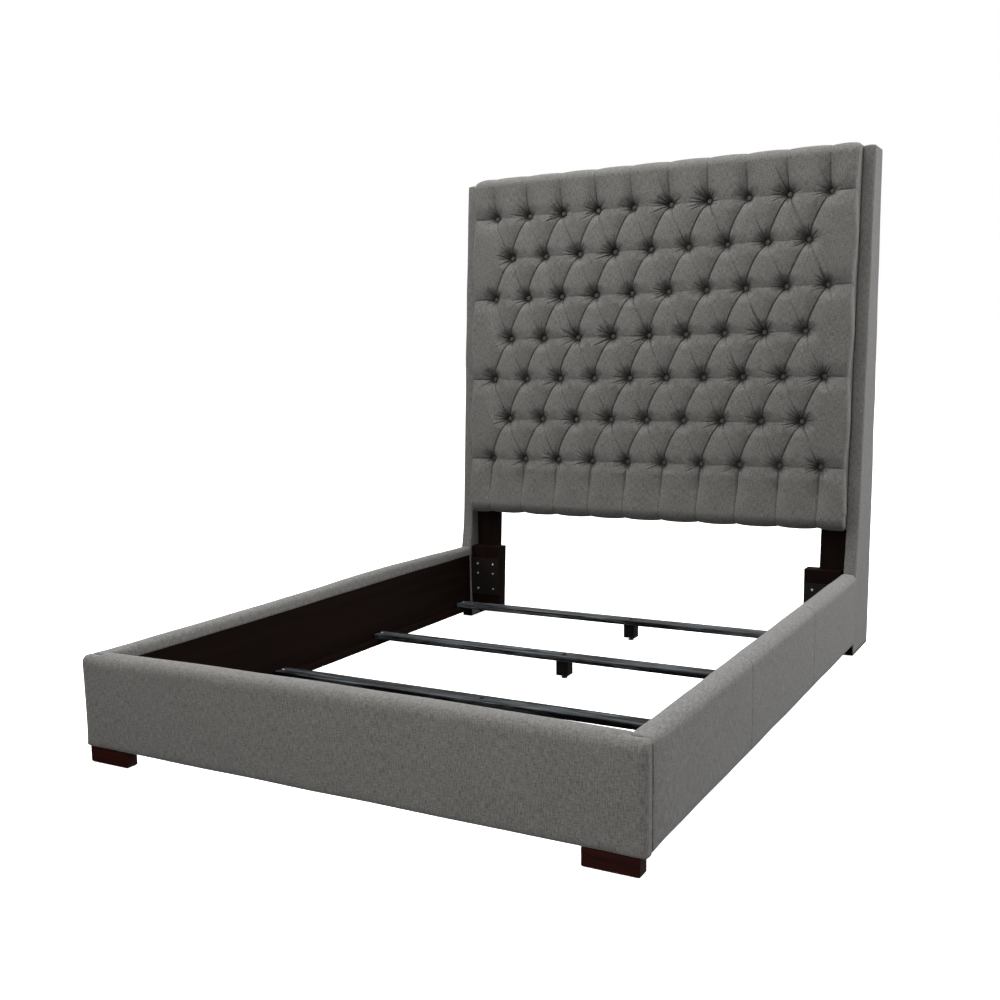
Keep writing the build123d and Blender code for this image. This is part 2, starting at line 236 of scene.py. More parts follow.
def weighted_sum(tree, a, share_a, b, share_b):
    first = math(tree, "MULTIPLY", a, share_a)
    second = math(tree, "MULTIPLY", b, share_b)
    return math(tree, "ADD", first, second)


def remap(tree, value, low, high, to_low=0.0, to_high=1.0):
    node = add(tree, "ShaderNodeMapRange")
    for index, number in enumerate((low, high, to_low, to_high)):
        node.inputs[index + 1].default_value = number
    tree.links.new(value, node.inputs[0])
    return node.outputs[0]


def ramp(tree, value, stops):
    node = add(tree, "ShaderNodeValToRGB")
    elements = node.color_ramp.elements
    while len(elements) < len(stops):
        elements.new(0.5)
    for element, (place, colour) in zip(elements, stops):
        element.position = place
        element.color = (*colour, 1.0)
    tree.links.new(value, node.inputs[0])
    return node.outputs[0]


def bump(tree, height, distance, strength):
    node = add(tree, "ShaderNodeBump")
    set_values(node, {"Distance": distance, "Strength": strength})
    tree.links.new(height, node.inputs["Height"])
    return node.outputs["Normal"]


def linen_material(name, colour):
    """Plain-weave linen look: fine threads both ways, thick slubs and a little mottling, with painted shade
    that darkens the colour towards a warm near-black wherever the mesh's attribute asks for it.
    """
    material, tree, shader = new_material(name)
    uv = add(tree, "ShaderNodeUVMap", uv_map=FABRIC_UV).outputs["UV"]
    warp = noise(tree, uv, (1100, 190, 1), 1.0)
    weft = noise(tree, uv, (190, 1100, 1), 1.0)
    warp_slub = noise(tree, uv, (430, 52, 1), 1.0)
    weft_slub = noise(tree, uv, (60, 430, 1), 1.0)
    fine = remap(tree, math(tree, "ADD", warp, weft), 0.6, 1.4)
    thick = remap(tree, weighted_sum(tree, warp_slub, 1.1, weft_slub, 0.9), 0.7, 1.3)
    streak = remap(tree, noise(tree, uv, (60, 22, 1), 2.0, 0.55), 0.3, 0.7)
    threads = weighted_sum(tree, fine, 0.52, thick, 0.46)
    threads = math(tree, "ADD", threads, math(tree, "MULTIPLY", streak, 0.02))
    mottle = noise(tree, uv, (9, 9, 1), 3.0, 0.6)
    tone = math(tree, "ADD", threads, remap(tree, mottle, 0.3, 0.7, -0.025, 0.025))
    dark = tuple(c * 0.60 for c in colour)
    light = tuple(c * 1.40 for c in colour)

    # painted shade: the colour is mixed towards a warm near-black by the attribute that marks dimples and
    # creases
    # the Mix node's colour sockets have the same names as its float ones, so they go by number
    painted_shade_mix = add(tree, "ShaderNodeMix", data_type="RGBA")
    share, lit, shaded, mixed = painted_shade_mix.inputs[0], painted_shade_mix.inputs[6], painted_shade_mix.inputs[7], painted_shade_mix.outputs[2]
    tree.links.new(add(tree, "ShaderNodeAttribute", attribute_name=PAINTED_SHADE).outputs["Fac"], share)
    tree.links.new(ramp(tree, tone, [(0.22, dark), (0.78, light)]), lit)
    # the colour of the painted shade, a warm near-black
    shaded.default_value = (0.010, 0.006, 0.004, 1.0)
    tree.links.new(mixed, shader.inputs["Base Color"])
    tree.links.new(remap(tree, threads, 0.2, 0.8, 0.93, 0.8), shader.inputs["Roughness"])
    tree.links.new(bump(tree, threads, 0.0009, 0.55), shader.inputs["Normal"])
    sheen = {"Sheen Weight": 0.14, "Sheen Roughness": 0.45, "Sheen Tint": (0.92, 0.94, 1.0, 1.0)}
    set_values(shader, {**sheen, "Specular IOR Level": 0.15})
    return material


def knots_in(tree, place, along):
    """1 in the middle of a scattered knot, 0 away from it."""
    cells = add(tree, "ShaderNodeTexVoronoi", feature="F1")
    cells.inputs["Scale"].default_value = 1.0
    spread = [13.0] * 3
    spread[along] = 4.2
    tree.links.new(scaled(tree, place, spread), cells.inputs["Vector"])
    return remap(tree, cells.outputs["Distance"], 0.03, 0.16, 1.0, 0.0)


def wood_material(
    name, dark, light, along, grain=1.0, roughness=(0.35, 0.55), coat=0.0, gloss=0.5, knots=False, soft=0.18
):
    """Stained or painted wood with grain along one axis (0, 1 or 2).

    The smaller its soft value, the harder the change from dark to light grain."""
    material, tree, shader = new_material(name)
    place = add(tree, "ShaderNodeTexCoord").outputs["Object"]
    coarse = [26.0 * grain] * 3
    coarse[along] = 1.4 * grain
    pores = [420.0 * grain] * 3
    pores[along] = 9.0 * grain
    rings = noise(tree, place, coarse, 4.0, 0.55, 0.6)
    streaks = noise(tree, place, pores, 2.0, 0.6)
    figure = weighted_sum(tree, rings, 0.62, streaks, 0.38)
    tone = figure
    if knots:
        darkened = math(tree, "MULTIPLY", knots_in(tree, place, along), 0.3)
        tone = math(tree, "SUBTRACT", figure, darkened, clamp=True)
    stops = [(0.54 - soft, dark), (0.54 + soft, light)]
    tree.links.new(ramp(tree, tone, stops), shader.inputs["Base Color"])
    tree.links.new(remap(tree, streaks, 0.3, 0.7, *roughness), shader.inputs["Roughness"])
    tree.links.new(bump(tree, figure, 0.0006, 0.35), shader.inputs["Normal"])
    set_values(shader, {"Specular IOR Level": gloss, "Coat Weight": coat, "Coat Roughness": 0.22})
    return material


def metal_material(name, colour, roughness, brushed, metallic=1.0, gloss=0.5):
    """Bare or coated metal with a fine brushed unevenness, in repeats per metre."""
    material, tree, shader = new_material(name)
    place = add(tree, "ShaderNodeTexCoord").outputs["Object"]
    scratches = noise(tree, place, brushed, 3.0, 0.6)
    tree.links.new(remap(tree, scratches, 0.3, 0.7, *roughness), shader.inputs["Roughness"])
    dark = tuple(c * 0.86 for c in colour)
    tree.links.new(ramp(tree, scratches, [(0.35, dark), (0.65, colour)]), shader.inputs["Base Color"])
    tree.links.new(bump(tree, scratches, 0.0003, 0.2), shader.inputs["Normal"])
    set_values(shader, {"Metallic": metallic, "Specular IOR Level": gloss})
    return material


def plastic_material(name, colour, texture_scale=900.0):
    """A matt, finely grained surface."""
    material, tree, shader = new_material(name)
    place = add(tree, "ShaderNodeTexCoord").outputs["Object"]
    grain = noise(tree, place, (texture_scale,) * 3, 2.0)
    light = tuple(min(1.0, c * 1.5) for c in colour)
    tree.links.new(ramp(tree, grain, [(0.3, colour), (0.75, light)]), shader.inputs["Base Color"])
    tree.links.new(remap(tree, grain, 0.3, 0.7, 0.48, 0.66), shader.inputs["Roughness"])
    tree.links.new(bump(tree, grain, 0.0002, 0.4), shader.inputs["Normal"])
    return material


linen = linen_material("linen", (0.113, 0.1095, 0.1025))
BLACK_STAIN = ((0.0040, 0.0018, 0.0012), (0.0085, 0.0040, 0.0028))
black_wood_x, black_wood_y, black_wood_z = (
    wood_material("black_stain_along_" + "xyz"[axis], *BLACK_STAIN, axis, roughness=(0.6, 0.75), gloss=0.03)
    for axis in range(3)
)
ESPRESSO = ((0.0078, 0.0012, 0.0008), (0.025, 0.0040, 0.0024))
espresso = wood_material("espresso_lacquer", *ESPRESSO, 0, roughness=(0.45, 0.6), coat=0.05, gloss=0.10)
SLAT_PAINT = ((0.002, 0.002, 0.003), (0.085, 0.094, 0.10))
slat_wood = wood_material(
    "blue_black_paint", *SLAT_PAINT, 0, 2.4, (0.46, 0.62), knots=True, gloss=0.12, soft=0.075
)
# a darker copy of the slat paint for the centre legs: painted shade, for the legs that stand in shade under
# the slats
LEG_PAINT_IN_PAINTED_SHADE = ((0.004, 0.003, 0.003), (0.014, 0.012, 0.012))
leg_wood_in_painted_shade = wood_material("blue_black_paint_upright_painted_shade", *LEG_PAINT_IN_PAINTED_SHADE, 2, 0.8, gloss=0.1)
raw_pine = wood_material("raw_pine", (0.36, 0.22, 0.11), (0.62, 0.46, 0.28), 0, 1.0, (0.6, 0.8))
POWDER_COAT = (0.0065, 0.0045, 0.0040)
black_coat = metal_material("black_powder_coat", POWDER_COAT, (0.5, 0.62), (700, 700, 700), 0.0, 0.12)
zinc = metal_material("bright_zinc", (0.72, 0.72, 0.70), (0.22, 0.4), (600, 600, 600))
brass = metal_material("brass", (0.74, 0.55, 0.25), (0.25, 0.4), (500, 500, 500))
nylon = plastic_material("black_nylon", (0.012, 0.012, 0.013))
felt = plastic_material("brown_felt", (0.075, 0.06, 0.05), 500.0)

SLOT_MATERIALS = {
    "black_stained_wood": black_wood_z,
    "espresso_wood": espresso,
    "painted_slat_wood": slat_wood,
    "frame_wood": raw_pine,
    "black_steel": black_coat,
    "zinc_plated_steel": zinc,
    "brass_insert": brass,
    "black_plastic": nylon,
    "felt_pad": felt,
}
# nodes that take a material other than their slot's: grain along their length, and the centre legs' painted
# shade
GRAIN_AND_PAINTED_SHADE_OF_NODE = {
    "side_rail_board": black_wood_y,
    "slat_cleat": black_wood_y,
    "footboard_inner_board": black_wood_x,
    "centre_leg": leg_wood_in_painted_shade,
}


def paint_cad_nodes():
    """Gives every CAD piece the look of its slot, with the grain along its length; the centre legs get a
    darker copy of the slat paint, which is painted shade.
    """
    for part in frame["record"]["subparts"]:
        name, slot = part["node"], part["material_slot"]
        if slot not in SLOT_MATERIALS:
            continue
        special = [m for start, m in GRAIN_AND_PAINTED_SHADE_OF_NODE.items() if name.startswith(start)]
        material = special[0] if special else SLOT_MATERIALS[slot]
        for index in range(len(nodes[name].material_slots)):
            nodes[name].material_slots[index].material = material


# ---- tufted panel
def arc_points(centre, radius, angles):
    """Points of an arc, each with its outward normal."""
    return [(centre + radius * np.array((cos(a), sin(a))), (cos(a), sin(a))) for a in angles]


def panel_profile(step):
    """Side view of the panel's crest, from under its lower edge, up the front and over the top.

    Returns the points (y, z), the outward normals, and the distance up the front from the tuft centre."""
    low_radius, top_radius, back_radius = 0.045, 0.042, 0.012
    hem_width, top_drop, back_reach = 0.075, 0.006, 0.003
    up = np.array((sin(lean), cos(lean)))
    out = np.array((-cos(lean), sin(lean)))
    centre = np.array((tuft_centre.y, tuft_centre.z)) + out * pillow_depth
    top_z, back = roll_z[1] - top_drop, roll_y[1] + back_reach

    # the lower roll
    run = (panel_z[0] + low_radius - centre[1] + low_radius * out[1]) / up[1]
    low_centre = centre + up * run - out * low_radius
    low_arc = arc_points(low_centre, low_radius, np.linspace(-pi / 2, lean - pi, 12))

    # the top roll
    run_top = (top_z - top_radius - centre[1] + top_radius * out[1]) / up[1]
    top_centre = centre + up * run_top - out * top_radius
    top_arc = arc_points(top_centre, top_radius, np.linspace(pi - lean, pi / 2, 16))

    # hem, lower roll, front, top roll, flat top, back edge
    hem = np.array((low_centre[0] + hem_width, panel_z[0]))
    line = [(hem + (low_arc[0][0] - hem) * t, (0.0, -1.0)) for t in np.linspace(0, 1, 8)[:-1]]
    line += low_arc
    front_start = len(line) - 1
    steps = front_steps(low_arc[-1][0], top_arc[0][0], centre, up, step)
    line += [(centre + up * distance, tuple(out)) for distance in steps]
    line += top_arc
    flat_start, flat_end = top_arc[-1][0], np.array((back - back_radius, top_z))
    line += [(flat_start + (flat_end - flat_start) * t, (0.0, 1.0)) for t in np.linspace(0, 1, 22)[1:-1]]
    line += arc_points(flat_end - (0, back_radius), back_radius, np.linspace(pi / 2, 0, 7))
    line.append((np.array((back, back_z[1] - top_drop)), (1.0, 0.0)))
    points = np.array([point for point, _ in line])
    normals = np.array([normal for _, normal in line])
    length = np.concatenate([[0], np.cumsum(np.hypot(*np.diff(points, axis=0).T))])
    start_of_front = (points[front_start] - centre) @ up
    return points, normals, length - length[front_start] + start_of_front


def front_steps(low, high, centre, up, step):
    """Distances up the front, close together round each button row and further apart between."""
    fine_band, rows_reach, wider = 0.066, 3.42 * row_pitch, 1.7
    first, last = (low - centre) @ up, (high - centre) @ up
    places, distance = [], first + step
    while distance < last - step * 0.5:
        places.append(distance)
        from_row = abs((distance / row_pitch + 0.5) % 1.0 - 0.5) * row_pitch
        near = from_row < fine_band and abs(distance) < rows_reach
        distance += step if near else step * wider
    return places


def button_rows():
    """For each button row: its distance up the front and the buttons' places across."""
    rows = []
    for row in range(tuft_rows):
        count = tuft_columns - row % 2
        across = (np.arange(count) - (count - 1) / 2) * column_pitch
        rows.append(((row - (tuft_rows - 1) / 2) * row_pitch, across))
    return rows


# each kind of fold: depth far from a button, half width, depth of the tight crease, its half width, bow
FOLD_KINDS = {
    "pleat": (0.0110, 0.058, 0.0095, 0.0048, 0.0070),
    "soft": (0.0085, 0.064, 0.0040, 0.0032, 0.0),
    "row": (0.0066, 0.060, 0.0004, 0.008, 0.0),
    "side": (0.0110, 0.072, 0.0050, 0.0052, 0.0),
    "down": (0.0260, 0.068, 0.0058, 0.0080, 0.0030),
    "up": (0.0200, 0.068, 0.0060, 0.0060, 0.0035),
}
# the share of a fold's valley that is lost away from its button, and where that starts
FOLD_FADE = {"up": (0.84, 0.02), "down": (0.78, 0.06)}
# the share of a fold's crease that is lost, and the part of its length that this takes
CREASE_FADE = {"up": (0.6, 0.5), "down": (0.5, 0.8)}
SOFT_CREASE_FADE = 0.8
DIMPLE_DEPTH = 0.064
DIMPLE_RADIUS = 0.062
DIMPLE_POWER = 3.3
# rays gathered into each button: from and to angle, count, shortest and longest
GATHERS = (
    (80, 212, 9, 0.036, 0.088),
    (0, 78, 4, 0.030, 0.062),
    (212, 354, 6, 0.024, 0.050),
    (110, 119, 1, 0.070, 0.125),
    (291, 299, 1, 0.060, 0.110),
)
RAY_DEPTH = (0.0060, 0.0125)
RAY_WIDTH = 0.0040
PULL_RADIUS = 0.064


def make_fold(kind, start, end, luck):
    depth, width, crease, tight, bow = FOLD_KINDS[kind]
    return {
        "kind": kind,
        "start": start,
        "end": end,
        "depth": depth * luck.uniform(0.8, 1.2),
        "width": width,
        "crease": crease * luck.uniform(0.8, 1.15),
        "tight": tight,
        "bow": bow * luck.uniform(0.5, 1.4) + luck.uniform(-0.0012, 0.0012),
    }


def make_folds(v_low, v_high, side):
    """Every fold of the cover, from one place (across, up) to another."""
    luck = np.random.default_rng(7)
    stray = 0.006
    rows = button_rows()
    folds = []
    for (v, across), (v_next, across_next) in zip(rows, rows[1:]):
        for x in across:
            for x_next in across_next:
                if abs(abs(x - x_next) - column_pitch / 2) < column_pitch * 0.1:
                    kind = "pleat" if x_next > x else "soft"
                    folds.append(make_fold(kind, (x, v), (x_next, v_next), luck))
    for v, across in rows:
        for x, x_next in zip(across, across[1:]):
            folds.append(make_fold("row", (x, v), (x_next, v), luck))
        if len(across) == tuft_columns:
            folds.append(make_fold("side", (across[0], v), (-side, v), luck))
            folds.append(make_fold("side", (across[-1], v), (side, v), luck))
    for x in rows[0][1]:
        folds.append(make_fold("down", (x, rows[0][0]), (x + luck.uniform(-stray, stray), v_low), luck))
    for x in rows[-1][1]:
        folds.append(make_fold("up", (x, rows[-1][0]), (x + luck.uniform(-stray, stray), v_high), luck))
    return folds


def distance_to_fold(x, v, fold):
    """How far each point lies from the fold's bowed line, and how far along the line it is, 0 to 1."""
    (x0, v0), (x1, v1) = fold["start"], fold["end"]
    dx, dv = x1 - x0, v1 - v0
    length = hypot(dx, dv)
    if abs(dv) > abs(dx):
        t = unit((v - v0) / dv)
        sideways = x - fold_x(fold, v0 + t * dv)
        return np.hypot(sideways * dv / length, v - v0 - t * dv), t
    t = unit((x - x0) / dx)
    sideways = v - v0 - t * dv - fold["bow"] * np.sin(pi * t)
    return np.hypot(sideways, x - x0 - t * dx), t


def fold_x(fold, v):
    """Where a steep fold crosses a height."""
    (x0, v0), (x1, v1) = fold["start"], fold["end"]
    t = (v - v0) / (v1 - v0)
    reach = hypot(x1 - x0, v1 - v0) / abs(v1 - v0)
    return x0 + t * (x1 - x0) - fold["bow"] * reach * np.sin(pi * t) * (1.15 - 0.3 * (1 - t))


def crease_strength(kind, t):
    """How much of the tight crease is left at each place along a fold."""
    if kind == "soft":
        return 1 - SOFT_CREASE_FADE * t
    share, part = CREASE_FADE.get(kind, (0.0, 1.0))
    return 1 - share * ease(t / part)


def fold_depth(x, v, fold):
    """Depth below the crest that one fold gives, as a broad valley and as a tight crease."""
    (x0, v0), (x1, v1) = fold["start"], fold["end"]
    kind, width = fold["kind"], fold["width"]
    button_reach, fade_length, button_depth = 0.085, 0.12, DIMPLE_DEPTH * 0.42
    away, t = distance_to_fold(x, v, fold)
    length = hypot(x1 - x0, v1 - v0)
    if kind in ("pleat", "soft", "row"):
        end = np.abs(2 * t - 1) ** 3
    else:
        end = unit(1 - t * length / button_reach) ** 2
    share, fade_start = FOLD_FADE.get(kind, (0.0, 0.0))
    far = 1 - share * ease((t * length - fade_start) / fade_length)
    depth = fold["depth"] * far + (button_depth - fold["depth"]) * end
    closeness = 1 - (away / width) ** 2 if kind == "soft" else 1 - away / width
    valley = depth * unit(closeness) ** 2
    reach = unit(1 - away / fold["tight"])
    return valley, fold["crease"] * crease_strength(kind, t) * (1 - np.sqrt(1 - reach**2))


def gather_depth(x, v, x0, v0, luck):
    """The small wrinkles that run out of a button like rays."""
    dx, dv = x - x0, v - v0
    total = np.zeros_like(dx)
    strength = luck.uniform(0.6, 1.25)
    for low, high, count, shortest, longest in GATHERS:
        for k in range(count):
            angle = radians(low + (high - low) * (k + luck.uniform(0.1, 0.9)) / count)
            length = luck.uniform(shortest, longest) * (0.75 + 0.25 * strength)
            bend = luck.uniform(-0.004, 0.004)
            depth = luck.uniform(*RAY_DEPTH) * strength
            along = dx * cos(angle) + dv * sin(angle)
            t = unit(along / length)
            off = dv * cos(angle) - dx * sin(angle) - bend * t**2
            width = RAY_WIDTH * (1 - t / 2)
            rise = ease((along - 0.004) / 0.010) * (1 - t) ** 1.1
            total = np.maximum(total, depth * rise * unit(1 - (off / width) ** 2))
    return total


def nearby(columns, rows, x_range, v_range):
    """Index ranges of the grid that cover an area."""
    i0, i1 = np.searchsorted(columns, x_range)
    j0, j1 = np.searchsorted(rows, v_range)
    return slice(max(j0 - 1, 0), j1 + 1), slice(max(i0 - 3, 0), i1 + 3)


def near_button(columns, rows, x0, v0, reach):
    """The part of the grid within reach of a button."""
    return nearby(columns, rows, (x0 - reach, x0 + reach), (v0 - reach, v0 + reach))


def tuft_depths(x, v, columns, folds):
    """Depth below the crest over the whole grid, and the part of it that tight creases give."""
    luck = np.random.default_rng(19)
    margin, button_area = 0.012, 0.1
    total = np.zeros_like(x)
    creases = np.zeros_like(x)
    rows = v[:, 0].copy()
    for fold in folds:
        (x0, v0), (x1, v1) = fold["start"], fold["end"]
        reach = fold["width"] + margin
        x_range = (min(x0, x1) - reach, max(x0, x1) + reach)
        v_range = (min(v0, v1) - reach, max(v0, v1) + reach)
        area = nearby(columns, rows, x_range, v_range)
        valley, crease = fold_depth(x[area], v[area], fold)
        total[area] += valley**3
        creases[area] = np.maximum(creases[area], crease)
    for v0, across in button_rows():
        for x0 in across:
            area = near_button(columns, rows, x0, v0, button_area)
            away = np.hypot(x[area] - x0, v[area] - v0)
            dimple = DIMPLE_DEPTH * unit(1 - away / DIMPLE_RADIUS) ** DIMPLE_POWER
            total[area] += dimple**3
            creases[area] += gather_depth(x[area], v[area], x0, v0, luck)
    return total ** (1 / 3) + creases, creases


def snap_to_pleats(x, v, folds):
    """Moves grid points sideways so that a column of them lies along each tight pleat."""
    moved = x.copy()
    for fold in folds:
        if fold["kind"] in ("row", "side"):
            continue
        low, high = sorted((fold["start"][1], fold["end"][1]))
        inside = np.nonzero((v[:, 0] >= low) & (v[:, 0] <= high))[0]
        line = fold_x(fold, v[inside, 0])
        nearest = np.abs(x[inside] - line[:, None]).argmin(1)
        shift = line - x[inside, nearest]
        for offset, share in ((-2, 0.3), (-1, 0.7), (0, 1.0), (1, 0.7), (2, 0.3)):
            moved[inside, nearest + offset] = x[inside, nearest + offset] + shift * share
    return moved


def crowd_points(x, v, columns):
    """Draws the grid's points in towards each button, where the wrinkles are finest."""
    rows = v[:, 0].copy()
    for v0, across in button_rows():
        for x0 in across:
            area = near_button(columns, rows, x0, v0, PULL_RADIUS)
            dx, dv = x[area] - x0, v[area] - v0
            away = unit(np.hypot(dx, dv) / PULL_RADIUS)
            shrink = 0.56 + 0.44 * away**2
            x[area] = x0 + dx * shrink
            v[area] = v0 + dv * shrink


def cover_columns(side, spacing):
    """The cover's columns, from side wall to side wall over both side rolls and the front.

    Returns each one's place across, its drop behind the front, and its distance along the cloth."""
    half_front = side - side_radius
    wall_depth = 0.036
    flat = np.linspace(-half_front, half_front, int(2 * half_front / spacing) + 1)
    turns = np.linspace(0, pi / 2, 12)[1:]
    wall_drop = side_radius + np.linspace(0, wall_depth, 9)[1:]
    right_x = np.concatenate([half_front + side_radius * np.sin(turns), np.full(len(wall_drop), side)])
    right_drop = np.concatenate([side_radius * (1 - np.cos(turns)), wall_drop])
    columns = np.concatenate([-right_x[::-1], flat, right_x])
    drop = np.concatenate([right_drop[::-1], np.zeros(len(flat)), right_drop])
    along = np.concatenate([[0], np.cumsum(np.hypot(np.diff(columns), np.diff(drop)))])
    return columns, drop, along - along.mean()


def swell_sides(x, v, drop, side):
    """Pulls the cover in at the side pleats and swells it between them, the left side a little more."""
    edge_start, fade_depth = 0.62, 0.03
    swell_out, pull_in, left_extra = 0.0095, 0.0055, 0.0035
    bands = v / row_pitch + (tuft_rows - 1) / 2
    in_rows = (bands > -1) & (bands < tuft_rows)
    swell = np.where(in_rows, 1 - np.abs(np.cos(bands * pi / 2)) ** 1.6, 0.6)
    edge = ease((np.abs(x) - edge_start) / (side - edge_start))
    behind = unit(1 - (np.broadcast_to(drop, x.shape) - side_radius) / fade_depth)
    x = x + np.sign(x) * (swell_out * swell - pull_in) * edge * behind
    return x + left_extra * edge * (x < 0)


def sag_down(v, depth, v_line):
    """Where each point of the crest's line ends up when the cover sags a little over each row."""
    most, top_clear, top_fade, hem_fade = 0.0065, 0.22, 0.12, 0.2
    height = unit(1 - depth / DIMPLE_DEPTH)
    below_top = ease((v_line[-1] - top_clear - v) / top_fade)
    above_hem = ease((v - v_line[0]) / hem_fade)
    return v - most * height**1.5 * below_top * above_hem


def round_top_corners(points, x, side):
    """Lowers the cover's top corners, the left one more than the right."""
    left_drop, right_drop, width = 0.013, 0.005, 0.06
    corner = unit((np.abs(x) - side + width) / width) ** 2 * np.where(x < 0, left_drop, right_drop)
    points[..., 2] -= corner * ease((points[..., 2] - roll_z[1] + 0.09) / 0.08)


def painted_shade_of_folds(depth, creases):
    """How much painted shade darkens the cloth's colour, in the dimples and along the tight creases."""
    shade_start, shade_range, full_crease, darkest = 0.017, 0.030, 0.010, 0.85
    shade = 0.56 * ease((depth - shade_start) / shade_range) + 0.26 * unit(creases / full_crease)
    return np.clip(shade, 0, darkest)


def build_tufted_panel():
    """The whole tufted cover as one cloth: lower roll, buttoned front, top roll and back edge."""
    spacing = 0.0021
    crest, normals, v_line = panel_profile(spacing)
    side = wing_x[0] - 0.001
    columns, drop, along = cover_columns(side, spacing)

    # the grid, with its lines drawn in to the pleats and the buttons
    x = np.repeat(columns[None, :], len(v_line), 0)
    v = np.repeat(v_line[:, None], len(columns), 1)
    folds = make_folds(v_line[0], v_line[-1], side)
    x = snap_to_pleats(x, v, folds)
    sorted_columns = columns + np.linspace(-1e-6, 1e-6, len(columns))
    crowd_points(x, v, sorted_columns)
    uv = np.stack([along + (x - columns), v], -1)

    # the tufting, shallower round the sides
    depth, creases = tuft_depths(x, v, sorted_columns, folds)
    # painted shade: the colour darkens in the dimples and along the creases, beyond what the geometry's own
    # shading gives
    painted_shade_amount = painted_shade_of_folds(depth, creases)
    face = 1 - ease((np.abs(x) - side + side_radius) / side_radius * 0.9)
    depth *= np.maximum(face, 0.34)
    depth[:, np.abs(columns) >= side - 1e-6] *= 0.3

    x = swell_sides(x, v, drop, side)
    sagged = sag_down(v, depth, v_line)
    inward = depth + drop[None, :]
    y = np.interp(sagged, v_line, crest[:, 0]) - normals[:, :1] * inward
    z = np.interp(sagged, v_line, crest[:, 1]) - normals[:, 1:] * inward
    points = np.stack([x, y, z], -1)
    round_top_corners(points, x, side)
    obj = link("tufted_cover", grid_mesh("tufted_cover", points, uv))
    tag_painted_shade(obj.data, painted_shade_amount)
    dress(obj, linen)
    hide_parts("tufted_panel", "tufted_top_roll")


def grid_mesh(name, points, uv):
    """A mesh over a grid of points [rows, columns, 3], split along its rising diagonals."""
    rows, columns = points.shape[:2]
    index = np.arange(rows * columns).reshape(rows, columns)
    a, b = index[:-1, :-1].ravel(), index[:-1, 1:].ravel()
    c, d = index[1:, 1:].ravel(), index[1:, :-1].ravel()
    faces = np.concatenate([np.stack([a, b, c], 1), np.stack([a, c, d], 1)])
    mesh = mesh_from_arrays(name, points.reshape(-1, 3), faces)
    set_fabric_uv(mesh, uv.reshape(-1, 2)[loop_vertices(mesh)])
    return mesh


# ---- buttons
def button_shape():
    """One button about its own centre, as points and triangles: a low dome with a rolled rim."""
    dome = [(0.0, 0.0068), (0.35, 0.0064), (0.62, 0.0054), (0.82, 0.0038), (0.95, 0.0016)]
    profile = dome + [(1.0, -0.0008), (0.93, -0.0032), (0.6, -0.0045)]
    steps = 22
    angles = np.arange(steps) * 2 * pi / steps
    ring = np.stack([np.cos(angles), np.sin(angles)], 1) * button_radius
    rings = np.array([[(*(place * r), h) for place in ring] for r, h in profile[1:]])
    base = np.concatenate([[(0, 0, profile[0][1])], rings.reshape(-1, 3)])
    faces = [(0, 1 + k, 1 + (k + 1) % steps) for k in range(steps)]
    for level in range(len(profile) - 2):
        low, high = 1 + level * steps, 1 + (level + 1) * steps
        for k in range(steps):
            following = (k + 1) % steps
            faces.append((low + k, high + k, high + following))
            faces.append((low + k, high + following, low + following))
    return base, np.array(faces)


def build_buttons():
    """The cloth-covered buttons, each a little out of true."""
    base, faces = button_shape()
    out = np.array((0, -cos(lean), sin(lean)))
    up = np.array((0, sin(lean), cos(lean)))
    right = np.array((1.0, 0, 0))
    points, all_faces = [], []
    luck = np.random.default_rng(3)
    for v, across in button_rows():
        for x in across:
            centre = np.array(tuft_centre) + right * x + up * v + out * luck.uniform(-0.0035, -0.0010)
            tilt = luck.uniform(-0.08, 0.08, 2)
            facing = out + right * tilt[0] + up * tilt[1]
            all_faces.append(faces + len(points) * len(base))
            points.append(centre + base[:, :1] * right + base[:, 1:2] * up + base[:, 2:] * facing)
    mesh = mesh_from_arrays("button_caps", np.concatenate(points), np.concatenate(all_faces))
    project_fabric(mesh)
    # an even touch of painted shade over every button
    tag_painted_shade(mesh, np.full(len(mesh.vertices), 0.2))
    obj = link("button_caps", mesh)
    dress(obj, linen)
    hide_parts("tuft_buttons")


# ---- padded covers
def rectangle(a0, a1, b0, b1):
    return [(a0, b0), (a1, b0), (a1, b1), (a0, b1)]


def rounded_prism(outline, low, high, axis, radius, segments=4):
    """A closed solid: an outline of (a, b) pairs swept along an axis, with its rims rounded."""
    bm = bmesh.new()
    order = {0: lambda a, b: (low, a, b), 1: lambda a, b: (a, low, b), 2: lambda a, b: (a, b, low)}[axis]
    face = bm.faces.new([bm.verts.new(order(a, b)) for a, b in outline])
    swept = bmesh.ops.extrude_face_region(bm, geom=[face])
    move = [0.0, 0.0, 0.0]
    move[axis] = high - low
    moved = [item for item in swept["geom"] if isinstance(item, bmesh.types.BMVert)]
    bmesh.ops.translate(bm, verts=moved, vec=move)
    bmesh.ops.recalc_face_normals(bm, faces=bm.faces)
    rims = [edge for edge in bm.edges if abs((edge.verts[0].co - edge.verts[1].co)[axis]) < 1e-6]
    bmesh.ops.bevel(bm, geom=rims, offset=radius, segments=segments, affect="EDGES", profile=0.5)
    return bm


